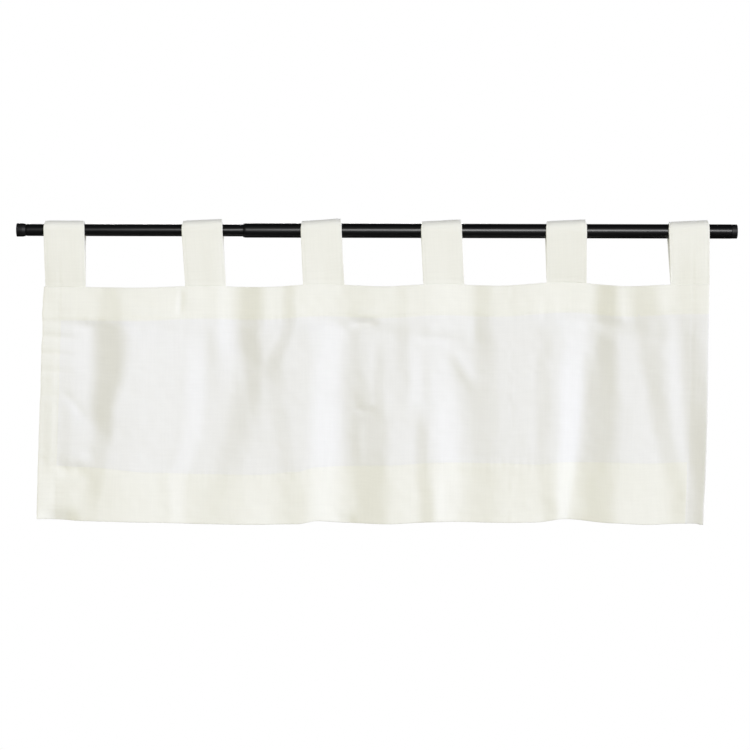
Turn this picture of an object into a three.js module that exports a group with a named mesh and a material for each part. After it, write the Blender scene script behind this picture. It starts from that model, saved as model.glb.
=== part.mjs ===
// Tab top valance of plain white cotton, hanging on a black telescoping tension rod.
// Millimetres, +Z up. X runs along the rod and the front of the cloth faces -Y.
// The origin is the centre of the left end cap's outer face, on the rod's axis.

import * as THREE from 'three';
import { mergeVertices } from 'three/addons/utils/BufferGeometryUtils.js';

// Rod
const ROD_LENGTH = 900;
const ROD_SIDES = 36;
const INNER_TUBE_RADIUS = 7.5;
const OUTER_TUBE_RADIUS = 9;
const TUBE_WALL = 1.2;
const OUTER_TUBE_START = 283;
const OUTER_TUBE_LIP = 3;
const INNER_TUBE_LIP = 1;
const TUBE_LIP_DEPTH = 0.6;
const TUBE_OVERLAP = 147;

// End caps, each a rubber button on a plug that fits in its tube
const CAP_LEFT_LENGTH = 11.5;
const CAP_LEFT_RADIUS = 8.35;
const CAP_LEFT_STRAIGHT = 7.5;
const CAP_RIGHT_LENGTH = 7;
const CAP_RIGHT_RADIUS = 8.85;
const CAP_CHAMFER = 0.7;
const CAP_PLUG_LENGTH = 12;

// Cloth
const CLOTH_THICKNESS = 1;
const PIECE_GAP = 0.3;
const FACING_GAP = 0.35;
const SIDE_HEM_WIDTH = 22;
const HEM_STEP = 1.6;
const FACING_HEIGHT_LEFT = 41;
const FACING_HEIGHT_RIGHT = 36;
const HANG_BACK = 5;
const EDGE_ZONE = 0.1;
const FLANK_SHOULDER = 0.42;
const FOLD_REACH = 340;

// Tab straps, each of double cloth
const TAB_WIDTH = 51;
const TAB_SEAT_GAP = 0.4;
const TAB_LEG_THICKNESS = 1.9;
const TAB_CROWN_THICKNESS = 2.8;
const TAB_END_SLIT = 0.3;
const TAB_LEG_BOW = 1.2;
const TAB_LIFT_START = 0.5;

// Facets
const BODY_COLUMNS = 104;
const HEADING_ROWS = 2;
const BODY_ROWS = 12;
const HEM_ROWS = 3;
const TAB_LEG_STEPS = 5;
const TAB_ARCH_STEPS = 12;
const TAB_CROSS_STEPS = 4;
const SLOPE_SPAN = 0.002;
const MERGE_DISTANCE = 0.0001;

// Each tab: its middle along the rod, how far its lower end leans to the right and how much narrower
// it is there, and how far its crown stands off the rod at its left and right edges.
const TABS = [
  { name: 'tab_1', x: 59.9, lean: 0.4, narrowing: 0.4, liftLeft: 1.2, liftRight: 1.4 },
  { name: 'tab_2', x: 232, lean: 3.8, narrowing: 0.2, liftLeft: 1.4, liftRight: 3.8 },
  { name: 'tab_3', x: 380.5, lean: 3.2, narrowing: -0.6, liftLeft: 0, liftRight: 3.2 },
  { name: 'tab_4', x: 530.5, lean: 3.5, narrowing: -0.6, liftLeft: 0, liftRight: 2.3 },
  { name: 'tab_5', x: 686.2, lean: 1.7, narrowing: 0.6, liftLeft: 0.3, liftRight: 3 },
  { name: 'tab_6', x: 839, lean: 1.2, narrowing: 3, liftLeft: 0, liftRight: 2.2 },
];

// Each fold flank is a smooth step of the cloth towards the front (rise above zero) or back.
// Its knots, from the heading down: share of the drop, middle along the rod, breadth, rise.
const FLANKS = [
  { fold: 'left edge', knots: [
    [0.14, 40, 22, 0.5], [0.3, 38, 22, 1.5], [0.66, 36, 22, 3], [0.92, 40, 22, -2],
  ] },
  { fold: 'left hem', knots: [
    [0.25, 60, 25, 0], [0.42, 60, 25, 2], [0.66, 60, 25, 3], [0.92, 58, 30, 2],
  ] },
  { fold: 'gap 1 hollow', knots: [
    [0.14, 82, 34, -0.5], [0.19, 82, 34, -2], [0.32, 82, 34, -1], [0.46, 82, 34, 1],
    [0.64, 82, 34, 0],
  ] },
  { fold: 'gap 1 rise', knots: [
    [0.13, 117, 46, 7.5], [0.175, 117, 62, 27], [0.36, 116, 62, 28], [0.52, 108, 43, 21],
    [0.63, 109, 36, 10], [0.73, 103, 40, 5.5], [0.85, 98, 32, 7], [0.96, 94, 30, 2.5],
  ] },
  { fold: 'gap 1 fall', knots: [
    [0.14, 175, 110, -2], [0.3, 175, 110, -2], [0.6, 172, 100, -5], [0.92, 165, 95, -8.5],
  ] },
  { fold: 'tab 2 fall', knots: [
    [0.14, 225, 34, -1], [0.25, 224, 34, -3], [0.4, 224, 36, -6], [0.64, 219, 40, -6.5],
    [0.8, 203, 32, -5.5], [0.92, 201, 28, -5.5],
  ] },
  { fold: 'tab 2 dip', knots: [
    [0.14, 241, 22, 0.5], [0.23, 241, 22, 2.5], [0.34, 243, 22, 1.5], [0.48, 245, 22, 0],
  ] },
  { fold: 'tab 2 crease', knots: [
    [0.11, 259, 24, -3], [0.2, 260, 26, -5], [0.36, 264, 28, -2], [0.5, 264, 28, 0],
  ] },
  { fold: 'gap 2 slope', knots: [
    [0.3, 281, 34, 0], [0.38, 280, 36, 3], [0.47, 281, 40, 6], [0.62, 276, 56, 9],
    [0.78, 262, 52, 5], [0.92, 246, 50, 2],
  ] },
  { fold: 'gap 2 rise', knots: [
    [0.12, 292, 54, 17.5], [0.19, 291, 43, 16.5], [0.27, 293.5, 41, 14.5], [0.35, 296, 36, 10],
    [0.45, 298, 28, 7], [0.56, 300, 22, 1], [0.66, 302, 22, 0],
  ] },
  { fold: 'gap 2 branch', knots: [
    [0.14, 340, 26, 6], [0.22, 335, 25, 5], [0.33, 321, 36, 8.5], [0.44, 325, 36, 3],
    [0.64, 334, 33, 3.5], [0.92, 344, 46, 4],
  ] },
  { fold: 'gap 2 hem fall', knots: [[0.7, 300, 50, 0], [0.92, 300, 62, -6]] },
  { fold: 'tab 3 fall', knots: [
    [0.13, 377, 66, -1], [0.2, 391, 62, -13], [0.44, 388, 58, -17.5], [0.64, 386, 58, -16],
    [0.92, 384, 48, -11],
  ] },
  { fold: 'gap 3 rise', knots: [
    [0.14, 425, 70, 8], [0.21, 422, 24, 3], [0.34, 423, 26, 3], [0.42, 428, 40, 5],
    [0.53, 433, 66, 13.5], [0.62, 435, 80, 18.5], [0.74, 438, 82, 24], [0.92, 443, 76, 23],
  ] },
  { fold: 'gap 3 ease', knots: [
    [0.16, 455, 66, -1], [0.24, 456, 66, -5], [0.42, 457, 66, -5], [0.58, 457, 66, 0],
  ] },
  { fold: 'gap 3 strip', knots: [
    [0.2, 452, 20, 0], [0.3, 452, 20, 2.5], [0.44, 453, 20, 3], [0.7, 456, 20, 1.5],
    [0.84, 456, 20, 0],
  ] },
  { fold: 'gap 3 notch', knots: [
    [0.14, 482, 28, 2], [0.19, 482, 28, 3], [0.36, 482, 28, 0.5], [0.5, 482, 28, 0],
  ] },
  { fold: 'gap 3 ridge', knots: [
    [0.16, 498, 28, -0.5], [0.28, 499, 28, -4.5], [0.46, 500, 28, -5], [0.58, 499, 28, -0.5],
  ] },
  { fold: 'gap 3 crease', knots: [
    [0.5, 510, 22, 0], [0.62, 507, 24, 5], [0.78, 507, 28, 6], [0.95, 513, 30, 7],
  ] },
  { fold: 'tab 4 fall', knots: [
    [0.12, 541, 80, -7.5], [0.24, 534, 72, -9.5], [0.36, 531, 54, -10], [0.64, 538, 48, -8.2],
    [0.8, 538, 42, -9.3], [0.92, 536, 36, -8.6],
  ] },
  { fold: 'gap 4 rise', knots: [
    [0.14, 583, 36, 6], [0.24, 585, 38, 6.5], [0.36, 586, 42, 5], [0.44, 579, 56, 8.5],
    [0.64, 583, 62, 9], [0.92, 583, 62, 8],
  ] },
  { fold: 'gap 4 fall', knots: [[0.12, 630, 62, 2], [0.22, 619, 75, -2.5], [0.5, 619, 75, 1]] },
  { fold: 'gap 4 ridge', knots: [
    [0.14, 666, 20, 0.5], [0.22, 662, 24, 1], [0.4, 659, 32, 4], [0.84, 661, 28, 3],
    [0.97, 667, 24, 4.5],
  ] },
  { fold: 'tab 5 fall', knots: [
    [0.12, 692, 60, 2], [0.2, 701, 52, -11.5], [0.36, 695, 46, -12], [0.64, 692, 40, -16.5],
    [0.8, 688, 33, -16], [0.9, 685, 25, -12.5], [0.98, 684, 18, -7],
  ] },
  { fold: 'gap 5 shoulder', knots: [
    [0.24, 715, 22, 0], [0.34, 716, 22, 3.5], [0.5, 716, 22, 3], [0.64, 710, 22, 0],
  ] },
  { fold: 'gap 5 rise', knots: [
    [0.12, 738, 43, 17.5], [0.18, 740, 34, 9.5], [0.26, 738, 37, 16], [0.44, 736, 49, 18],
    [0.64, 731, 66, 19], [0.92, 723, 73, 21.5],
  ] },
  { fold: 'gap 5 ridge', knots: [
    [0.12, 784, 54, 13], [0.22, 790, 47, 10], [0.33, 794, 45, 11], [0.44, 799, 39, 9],
    [0.55, 804, 38, 8.5], [0.66, 811, 34, 6], [0.92, 829, 46, 7],
  ] },
  { fold: 'tab 6 fall', knots: [
    [0.12, 822, 22, 0], [0.2, 821, 22, -1], [0.46, 823, 22, -1.5], [0.7, 824, 22, 0],
  ] },
  { fold: 'right edge', knots: [
    [0.12, 840, 55, 6], [0.2, 841, 46, 9.5], [0.42, 848, 50, 13.5], [0.64, 853, 44, 18.5],
    [0.92, 856, 39, 17],
  ] },
];

// Broad turns of the whole cloth towards one side, in the same form but not given back.
const TURNS = [
  { fold: 'left turn', knots: [[0, 66, 130, 3], [1, 66, 130, 3]] },
  { fold: 'right turn', knots: [[0, 785, 270, 11], [1, 785, 270, 12]] },
];

// Places of the numbers in a knot
const SHARE = 0;
const MIDDLE = 1;
const BREADTH = 2;
const RISE = 3;

// Side edges of the panel at shares of its drop
const SIDE_EDGES = [
  { share: 0, left: 33, right: 864.2 },
  { share: 0.07, left: 31.6, right: 864.1 },
  { share: 0.12, left: 30.8, right: 863.8 },
  { share: 0.175, left: 31.2, right: 863.6 },
  { share: 0.28, left: 29.6, right: 863.1 },
  { share: 0.42, left: 28.7, right: 862.4 },
  { share: 0.53, left: 27.3, right: 861.8 },
  { share: 0.68, left: 26.5, right: 860.7 },
  { share: 0.76, left: 25.6, right: 859.7 },
  { share: 1, left: 24.8, right: 857.1 },
];

// Top edge of the heading below the rod's axis: high at the tabs, sagging between them
const HEADING_LINE = [
  { x: 60, drop: 70.5 },
  { x: 146, drop: 71.8 },
  { x: 236, drop: 69 },
  { x: 305, drop: 70.6 },
  { x: 384, drop: 66.6 },
  { x: 457, drop: 69.3 },
  { x: 534, drop: 66 },
  { x: 600, drop: 68.1 },
  { x: 688, drop: 63 },
  { x: 765, drop: 68.7 },
  { x: 841, drop: 66 },
];

// Lower edge of the hem below the rod's axis, and the height of the hem there
const HEM_LINE = [
  { x: 24, drop: 361.6, hemHeight: 69 },
  { x: 84, drop: 363.9, hemHeight: 68 },
  { x: 174, drop: 365.7, hemHeight: 63 },
  { x: 232, drop: 367.4, hemHeight: 63 },
  { x: 300, drop: 368, hemHeight: 63 },
  { x: 350, drop: 367.2, hemHeight: 66 },
  { x: 376, drop: 363.3, hemHeight: 68 },
  { x: 412, drop: 366, hemHeight: 72 },
  { x: 460, drop: 366.9, hemHeight: 74 },
  { x: 534, drop: 363.9, hemHeight: 75 },
  { x: 612, drop: 364.9, hemHeight: 75 },
  { x: 650, drop: 364.5, hemHeight: 73 },
  { x: 684, drop: 360.4, hemHeight: 72 },
  { x: 744, drop: 365.2, hemHeight: 76 },
  { x: 789, drop: 366.7, hemHeight: 77 },
  { x: 834, drop: 365.3, hemHeight: 77 },
  { x: 860, drop: 366.3, hemHeight: 77 },
];

const clothMaterial = new THREE.MeshStandardMaterial({ color: 0xeeeee8, roughness: 0.95, metalness: 0 });
const paintMaterial = new THREE.MeshStandardMaterial({ color: 0x141519, roughness: 0.38, metalness: 0.1 });
const rubberMaterial = new THREE.MeshStandardMaterial({ color: 0x1b1b1d, roughness: 0.75, metalness: 0 });

const { lerp, clamp, smoothstep } = THREE.MathUtils;

const HEADING_LEFT = SIDE_EDGES[0].left;
const HEADING_RIGHT = SIDE_EDGES[0].right;
const HEADING_WIDTH = HEADING_RIGHT - HEADING_LEFT;

// Value of one column of a table at a place between its rows, eased from row to row.
function tableAt(rows, key, column, place) {
  const next = rows.findIndex((row) => row[key] > place);
  if (next === 0) return rows[0][column];
  if (next < 0) return rows[rows.length - 1][column];
  const before = rows[next - 1];
  const after = rows[next];
  return lerp(before[column], after[column], smoothstep(place, before[key], after[key]));
}

// Slope of a column of knots at one of them, level at the first and the last.
function knotSlope(knots, column, index) {
  if (index === 0 || index === knots.length - 1) return 0;
  const before = knots[index - 1];
  const after = knots[index + 1];
  return (after[column] - before[column]) / (after[SHARE] - before[SHARE]);
}

// One column of a flank's knots as a smooth curve, level before the first knot and after the last.
function smoothAt(knots, column, share) {
  const next = knots.findIndex((knot) => knot[SHARE] > share);
  if (next === 0) return knots[0][column];
  if (next < 0) return knots[knots.length - 1][column];
  const before = knots[next - 1];
  const after = knots[next];
  const span = after[SHARE] - before[SHARE];
  const part = (share - before[SHARE]) / span;
  const leaving = part * (1 - part) ** 2 * span * knotSlope(knots, column, next - 1);
  const reaching = part ** 2 * (1 - part) * span * knotSlope(knots, column, next);
  return lerp(before[column], after[column], smoothstep(part, 0, 1)) + leaving - reaching;
}

// Step from 0 to 1 as part goes from -0.5 to 0.5: an even slope with rounded shoulders.
function flankStep(part) {
  const place = clamp(part + 0.5, 0, 1);
  const near = Math.min(place, 1 - place);
  const ramp = Math.min(near / FLANK_SHOULDER, 1);
  const rise = FLANK_SHOULDER * (ramp ** 3 - ramp ** 4 / 2) + Math.max(near - FLANK_SHOULDER, 0);
  const step = rise / (1 - FLANK_SHOULDER);
  return place < 0.5 ? step : 1 - step;
}

// How far the cloth stands forward of its flat hanging plane. A flank's step is given back around it.
function foldDepth(x, share) {
  let depth = 0;
  for (const { knots } of [...FLANKS, ...TURNS]) {
    const away = x - smoothAt(knots, MIDDLE, share);
    depth += smoothAt(knots, RISE, share) * flankStep(away / smoothAt(knots, BREADTH, share));
  }
  for (const { knots } of FLANKS) {
    const away = x - smoothAt(knots, MIDDLE, share);
    depth -= smoothAt(knots, RISE, share) * flankStep(away / FOLD_REACH);
  }
  return depth;
}

// Place along X: the cloth's columns hang straight down, but the side edges wander.
function columnX(across, share) {
  const leftShift = tableAt(SIDE_EDGES, 'share', 'left', share) - HEADING_LEFT;
  const rightShift = tableAt(SIDE_EDGES, 'share', 'right', share) - HEADING_RIGHT;
  const leftPull = 1 - smoothstep(across, 0, EDGE_ZONE);
  const rightPull = smoothstep(across, 1 - EDGE_ZONE, 1);
  return lerp(HEADING_LEFT, HEADING_RIGHT, across) + leftShift * leftPull + rightShift * rightPull;
}

// Point on the panel's front face: across runs 0 to 1 from left to right, share from top to hem.
function frontPoint(across, share) {
  const x = columnX(across, share);
  const top = tableAt(HEADING_LINE, 'x', 'drop', x);
  const bottom = tableAt(HEM_LINE, 'x', 'drop', x);
  return new THREE.Vector3(x, HANG_BACK - foldDepth(x, share), -lerp(top, bottom, share));
}

// Level direction from the front of the cloth to its back.
function backDirection(across, share) {
  const along = frontPoint(across + SLOPE_SPAN, share).sub(frontPoint(across - SLOPE_SPAN, share));
  return new THREE.Vector3(-along.y, along.x, 0).normalize();
}

// Point at a depth behind the panel's front face.
function clothPoint(across, share, depth) {
  return frontPoint(across, share).addScaledVector(backDirection(across, share), depth);
}

// Geometry with only shared positions left, so that its faces close up.
function closedGeometry(geometry) {
  geometry.deleteAttribute('normal');
  geometry.deleteAttribute('uv');
  const merged = mergeVertices(geometry, MERGE_DISTANCE);
  merged.computeVertexNormals();
  return merged;
}

// A thin slab of columns by rows, each of its points put in place by a function.
function sheetGeometry(columns, rows, place) {
  const slab = new THREE.BoxGeometry(1, 1, 1, columns, 1, rows);
  const position = slab.getAttribute('position');
  for (let i = 0; i < position.count; i += 1) {
    const column = Math.round((position.getX(i) + 0.5) * columns);
    const row = Math.round((0.5 - position.getZ(i)) * rows);
    const point = place(column, row, position.getY(i) > 0);
    position.setXYZ(i, point.x, point.y, point.z);
  }
  return closedGeometry(slab);
}

function addPiece(group, name, geometry, material) {
  const mesh = new THREE.Mesh(geometry, material);
  mesh.name = name;
  group.add(mesh);
}

// Columns across the cloth, with a narrow one at the inner edge of each side hem.
function clothColumns() {
  const hem = SIDE_HEM_WIDTH / HEADING_WIDTH;
  const inner = (SIDE_HEM_WIDTH + HEM_STEP) / HEADING_WIDTH;
  const columns = [0, hem];
  for (let i = 0; i <= BODY_COLUMNS; i += 1) {
    columns.push(lerp(inner, 1 - inner, i / BODY_COLUMNS));
  }
  columns.push(1 - hem, 1);
  return columns;
}

// Shares of the drop at the cloth's rows: the heading's, the body's down to a narrow row
// at the top of the hem, and the hem's.
function rowShare(across, row) {
  const top = -frontPoint(across, 0).z;
  const bottom = -frontPoint(across, 1).z;
  const drop = bottom - top;
  const hemHeight = tableAt(HEM_LINE, 'x', 'hemHeight', frontPoint(across, 1).x);
  const headingEnd = lerp(FACING_HEIGHT_LEFT, FACING_HEIGHT_RIGHT, across) / drop;
  const hemTop = 1 - hemHeight / drop;
  const bodyEndRow = HEADING_ROWS + BODY_ROWS;
  if (row <= HEADING_ROWS) return headingEnd * row / HEADING_ROWS;
  if (row <= bodyEndRow) return lerp(headingEnd, hemTop, (row - HEADING_ROWS) / BODY_ROWS);
  return lerp(hemTop + HEM_STEP / drop, 1, (row - bodyEndRow - 1) / HEM_ROWS);
}

// The panel: single cloth, double where the bottom and side hems are turned to the back.
function panelGeometry(columns) {
  const lastColumn = columns.length - 1;
  const bodyEndRow = HEADING_ROWS + BODY_ROWS;
  return sheetGeometry(lastColumn, bodyEndRow + 1 + HEM_ROWS, (column, row, isBack) => {
    const inSideHem = column <= 1 || column >= lastColumn - 1;
    const layers = inSideHem || row > bodyEndRow ? 2 : 1;
    const depth = isBack ? layers * CLOTH_THICKNESS : 0;
    return clothPoint(columns[column], rowShare(columns[column], row), depth);
  });
}

// The heading's facing strip: it lies behind the panel between the side hems, on its folds.
function facingGeometry(columns) {
  const inset = columns.slice(1, -1);
  const lastColumn = inset.length - 1;
  return sheetGeometry(lastColumn, HEADING_ROWS, (column, row, isBack) => {
    const layers = column === 0 || column === lastColumn ? 2 : 1;
    const front = layers * CLOTH_THICKNESS + FACING_GAP;
    const depth = isBack ? front + CLOTH_THICKNESS : front;
    return clothPoint(inset[column], rowShare(inset[column], row), depth);
  });
}

// One tab: a strap from the heading up in front of the rod, over it and down behind.
// Its legs leave the rod on the tangents to the seam, bowed a little outwards.
function tabGeometry(tab) {
  const rodRadius = tab.x < OUTER_TUBE_START ? INNER_TUBE_RADIUS : OUTER_TUBE_RADIUS;
  const archRadius = rodRadius + TAB_SEAT_GAP;
  const headingThickness = 2 * CLOTH_THICKNESS + FACING_GAP;
  const endThickness = (headingThickness - TAB_END_SLIT) / 2;
  const archEnd = TAB_LEG_STEPS + TAB_ARCH_STEPS;
  const strapSteps = archEnd + TAB_LEG_STEPS;

  return sheetGeometry(strapSteps, TAB_CROSS_STEPS, (step, row, isInner) => {
    const cross = row / TAB_CROSS_STEPS;
    const crownX = tab.x + (cross - 0.5) * TAB_WIDTH;
    const seamX = crownX + tab.lean - tab.narrowing * (cross - 0.5);
    const seam = clothPoint((seamX - HEADING_LEFT) / HEADING_WIDTH, 0, headingThickness / 2);
    seam.z += PIECE_GAP;
    const seamAngle = Math.atan2(seam.z, seam.y);
    const tangent = Math.acos(archRadius / Math.hypot(seam.y, seam.z));
    const frontAngle = seamAngle - tangent + 2 * Math.PI;
    const backAngle = seamAngle + tangent;

    if (step >= TAB_LEG_STEPS && step <= archEnd) {
      const angle = lerp(frontAngle, backAngle, (step - TAB_LEG_STEPS) / TAB_ARCH_STEPS);
      const height = Math.max(0, Math.sin(angle));
      const lift = lerp(tab.liftLeft, tab.liftRight, cross) * smoothstep(height, 0, TAB_LIFT_START);
      const thickness = lerp(TAB_LEG_THICKNESS, TAB_CROWN_THICKNESS, height);
      const radius = archRadius + (isInner ? 0 : thickness);
      return new THREE.Vector3(crownX, radius * Math.cos(angle), radius * Math.sin(angle) + lift);
    }

    const isFront = step < TAB_LEG_STEPS;
    const side = isFront ? -1 : 1;
    const up = (isFront ? step : strapSteps - step) / TAB_LEG_STEPS;
    const angle = isFront ? frontAngle : backAngle;
    const bow = TAB_LEG_BOW * 4 * up * (1 - up);
    const thickness = isInner ? 0 : lerp(endThickness, TAB_LEG_THICKNESS, Math.sqrt(up));
    const legY = lerp(seam.y + side * TAB_END_SLIT / 2, archRadius * Math.cos(angle), up);
    const legZ = lerp(seam.z, archRadius * Math.sin(angle), up);
    return new THREE.Vector3(lerp(seam.x, crownX, up), legY + side * (bow + thickness), legZ);
  });
}

// A turned piece along X from an outline of { x, radius } points.
function turnedGeometry(outline) {
  const profile = outline.map((point) => new THREE.Vector2(point.radius, point.x));
  const geometry = new THREE.LatheGeometry(profile, ROD_SIDES);
  geometry.rotateZ(-Math.PI / 2);
  return closedGeometry(geometry);
}

// A tube with a sloping lip at its left end.
function tubeGeometry(start, end, radius, lip) {
  const bore = radius - TUBE_WALL;
  return turnedGeometry([
    { x: start, radius: bore },
    { x: start, radius: radius - TUBE_LIP_DEPTH },
    { x: start + lip, radius },
    { x: end, radius },
    { x: end, radius: bore },
    { x: start, radius: bore },
  ]);
}

function leftCapGeometry() {
  const plugRadius = INNER_TUBE_RADIUS - TUBE_WALL - PIECE_GAP;
  return turnedGeometry([
    { x: 0, radius: 0 },
    { x: 0, radius: CAP_LEFT_RADIUS - CAP_CHAMFER },
    { x: CAP_CHAMFER, radius: CAP_LEFT_RADIUS },
    { x: CAP_LEFT_STRAIGHT, radius: CAP_LEFT_RADIUS },
    { x: CAP_LEFT_LENGTH, radius: INNER_TUBE_RADIUS },
    { x: CAP_LEFT_LENGTH, radius: plugRadius },
    { x: CAP_LEFT_LENGTH + CAP_PLUG_LENGTH, radius: plugRadius },
    { x: CAP_LEFT_LENGTH + CAP_PLUG_LENGTH, radius: 0 },
  ]);
}

function rightCapGeometry() {
  const plugRadius = OUTER_TUBE_RADIUS - TUBE_WALL - PIECE_GAP;
  const shoulder = ROD_LENGTH - CAP_RIGHT_LENGTH;
  return turnedGeometry([
    { x: shoulder - CAP_PLUG_LENGTH, radius: 0 },
    { x: shoulder - CAP_PLUG_LENGTH, radius: plugRadius },
    { x: shoulder, radius: plugRadius },
    { x: shoulder, radius: CAP_RIGHT_RADIUS },
    { x: ROD_LENGTH - CAP_CHAMFER, radius: CAP_RIGHT_RADIUS },
    { x: ROD_LENGTH, radius: CAP_RIGHT_RADIUS - CAP_CHAMFER },
    { x: ROD_LENGTH, radius: 0 },
  ]);
}

function buildRod() {
  const rod = new THREE.Group();
  const innerStart = CAP_LEFT_LENGTH + PIECE_GAP;
  const innerEnd = OUTER_TUBE_START + TUBE_OVERLAP;
  const outerEnd = ROD_LENGTH - CAP_RIGHT_LENGTH - PIECE_GAP;
  const innerTube = tubeGeometry(innerStart, innerEnd, INNER_TUBE_RADIUS, INNER_TUBE_LIP);
  const outerTube = tubeGeometry(OUTER_TUBE_START, outerEnd, OUTER_TUBE_RADIUS, OUTER_TUBE_LIP);
  addPiece(rod, 'rod_inner_tube', innerTube, paintMaterial);
  addPiece(rod, 'rod_outer_tube', outerTube, paintMaterial);
  addPiece(rod, 'rod_cap_left', leftCapGeometry(), rubberMaterial);
  addPiece(rod, 'rod_cap_right', rightCapGeometry(), rubberMaterial);
  return rod;
}

function buildValance() {
  const valance = new THREE.Group();
  const columns = clothColumns();
  addPiece(valance, 'panel', panelGeometry(columns), clothMaterial);
  addPiece(valance, 'heading_facing', facingGeometry(columns), clothMaterial);
  for (const tab of TABS) {
    addPiece(valance, tab.name, tabGeometry(tab), clothMaterial);
  }
  return valance;
}

const tabTopValance = new THREE.Group();
tabTopValance.add(buildRod(), buildValance());

export default tabTopValance;
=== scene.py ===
# Tab top valance of plain white cotton on a black tension rod: cloth, straps, rod, sewing and light.
# Sizes are in millimetres, along the frame's axes: X along the rod, the cloth's front faces -Y.

import math
from collections import namedtuple

import bmesh
import bpy
import numpy as np
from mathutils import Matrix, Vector


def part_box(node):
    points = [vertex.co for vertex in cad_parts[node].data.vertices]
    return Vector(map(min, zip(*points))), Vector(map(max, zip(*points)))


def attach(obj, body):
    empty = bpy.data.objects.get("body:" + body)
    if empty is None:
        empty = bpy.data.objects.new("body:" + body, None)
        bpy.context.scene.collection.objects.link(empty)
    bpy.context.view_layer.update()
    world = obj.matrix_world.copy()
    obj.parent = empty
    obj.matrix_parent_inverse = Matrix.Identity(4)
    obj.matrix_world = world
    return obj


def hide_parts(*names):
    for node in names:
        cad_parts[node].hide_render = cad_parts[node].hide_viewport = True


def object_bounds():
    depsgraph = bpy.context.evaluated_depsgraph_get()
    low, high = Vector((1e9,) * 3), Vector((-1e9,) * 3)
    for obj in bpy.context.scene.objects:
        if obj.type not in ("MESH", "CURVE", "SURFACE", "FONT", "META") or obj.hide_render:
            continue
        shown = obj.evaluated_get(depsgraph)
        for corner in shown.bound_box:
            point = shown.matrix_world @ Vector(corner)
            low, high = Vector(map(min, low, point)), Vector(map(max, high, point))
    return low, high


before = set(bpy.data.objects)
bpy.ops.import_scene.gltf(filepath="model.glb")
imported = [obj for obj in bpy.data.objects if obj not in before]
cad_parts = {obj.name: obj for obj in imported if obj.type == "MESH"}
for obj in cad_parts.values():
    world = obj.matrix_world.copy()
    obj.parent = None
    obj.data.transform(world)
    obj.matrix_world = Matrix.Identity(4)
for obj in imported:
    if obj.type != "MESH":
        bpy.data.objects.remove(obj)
cad_low, cad_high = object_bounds()

MM = 0.001
TURN = 2 * math.pi

# Cloth
CLOTH_THICKNESS = 0.8
HEM_LAYERS = 2
FACING_GAP = 0.2
FACING_OVERLAP = 3
SIDE_HEM_WIDTH = 22
HEM_STEP = 1.2
FACING_HEIGHT_LEFT = 41
FACING_HEIGHT_RIGHT = 36
HANG_BACK = 5
EDGE_ZONE = 0.1
FLANK_SHOULDER = 0.42
FOLD_REACH = 340
EDGE_STEPS = (0, 0.15, 0.5)
EDGE_COLUMN = 2
COLUMN_SPACING = 2.5
PLACE_DIGITS = 3
HEADING_ROWS = 16
BODY_ROWS = 72
HEM_ROWS = 28
SLOPE_ACROSS = 0.0008
SLOPE_DOWN = 0.002
CREASE_FADE = (-0.2, 0.35)
NOISE_CELLS = 96
NOISE_SHIFT = (40, 80)

# Unevenness of the whole panel: height, size of a lump, seed.
RUMPLES = (
    (0.45, 34, 3),
    (0.32, 11, 4),
)

# Sewing
STITCH_PITCH = 2.8
STITCH_LENGTH = 2.3
STITCH_SEGMENTS = 6
STITCH_RINGS = 4
THREAD_RADIUS = 0.22
STITCH_SEED = 7
STITCH_SHORTEST = 0.86
STITCH_INSET = 1.6
STITCH_EDGE = 2.5
STITCH_POINT_SPACING = 2
THREAD_STAND = 0.1
SIDE_LINE_POINTS = 150
SIDE_LINE_START = 0.01
SIDE_LINE_END = 0.99
HEADING_GROOVE = 0.45
HEM_GROOVE = 0.28
SIDE_GROOVE = 0.35
GROOVE_WIDTH = 1.6
PUCKER_DEPTH = 0.22
PUCKER_PITCH = 8.5
PUCKER_REACH = 7
PUCKER_WANDER = ((0.4, 19), (0.3, 47))
PUCKER_FADE = (31, 73)
HEM_PUCKER_SHIFT = 400

# Tab straps
TAB_WIDTH = 51
TAB_SEAT_GAP = 0.5
TAB_LEG_THICKNESS = 1.7
TAB_CROWN_THICKNESS = 2.5
TAB_END_THICKNESS = 0.6
TAB_END_SLIT = 0.2
TAB_END_REACH = 0.5
TAB_END_CLOSE = 0.008
TAB_END_SINK = 0.8
TAB_LEG_BOW = 1.2
TAB_TURN_START = 0.8
TAB_LIFT_START = 0.5
TAB_CORNER_PULL = 1.1
TAB_PULL_START = 0.2
TAB_STITCH_INSET = 2.6
TAB_STITCH_TRIM = 2
TAB_BASE_LINE = 5.5
TAB_LEG_ROWS = 34
TAB_ARCH_ROWS = 40
TAB_COLUMN_SPACING = 1.8
STRAP_GROOVE_DEPTH = 0.4
STRAP_GROOVE_WIDTH = 1.1
STRAP_LUMP_DEPTH = 0.25
STRAP_LUMP_SIZE = 15
STRAP_ROW_STEP = 1.9
STRAP_SEED = 9

# Rod
ROD_SIDES = 96
TUBE_WALL = 1.2
TUBE_LIP_DEPTH = 0.6
THIN_TUBE_LIP = 1
THICK_TUBE_LIP = 3
LIP_ROUND_SHARE = 0.4
TUBE_EDGE_ROUND = 0.25
CAP_EDGE_ROUND = 0.5
CAP_LIP_ROUND = 0.3
CAP_LEFT_STRAIGHT = 7.5
CAP_PLUG_LENGTH = 12
CAP_PLUG_PLAY = 0.3
ROUND_STEPS = 5
MERGE_DISTANCE = 1e-7

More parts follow.
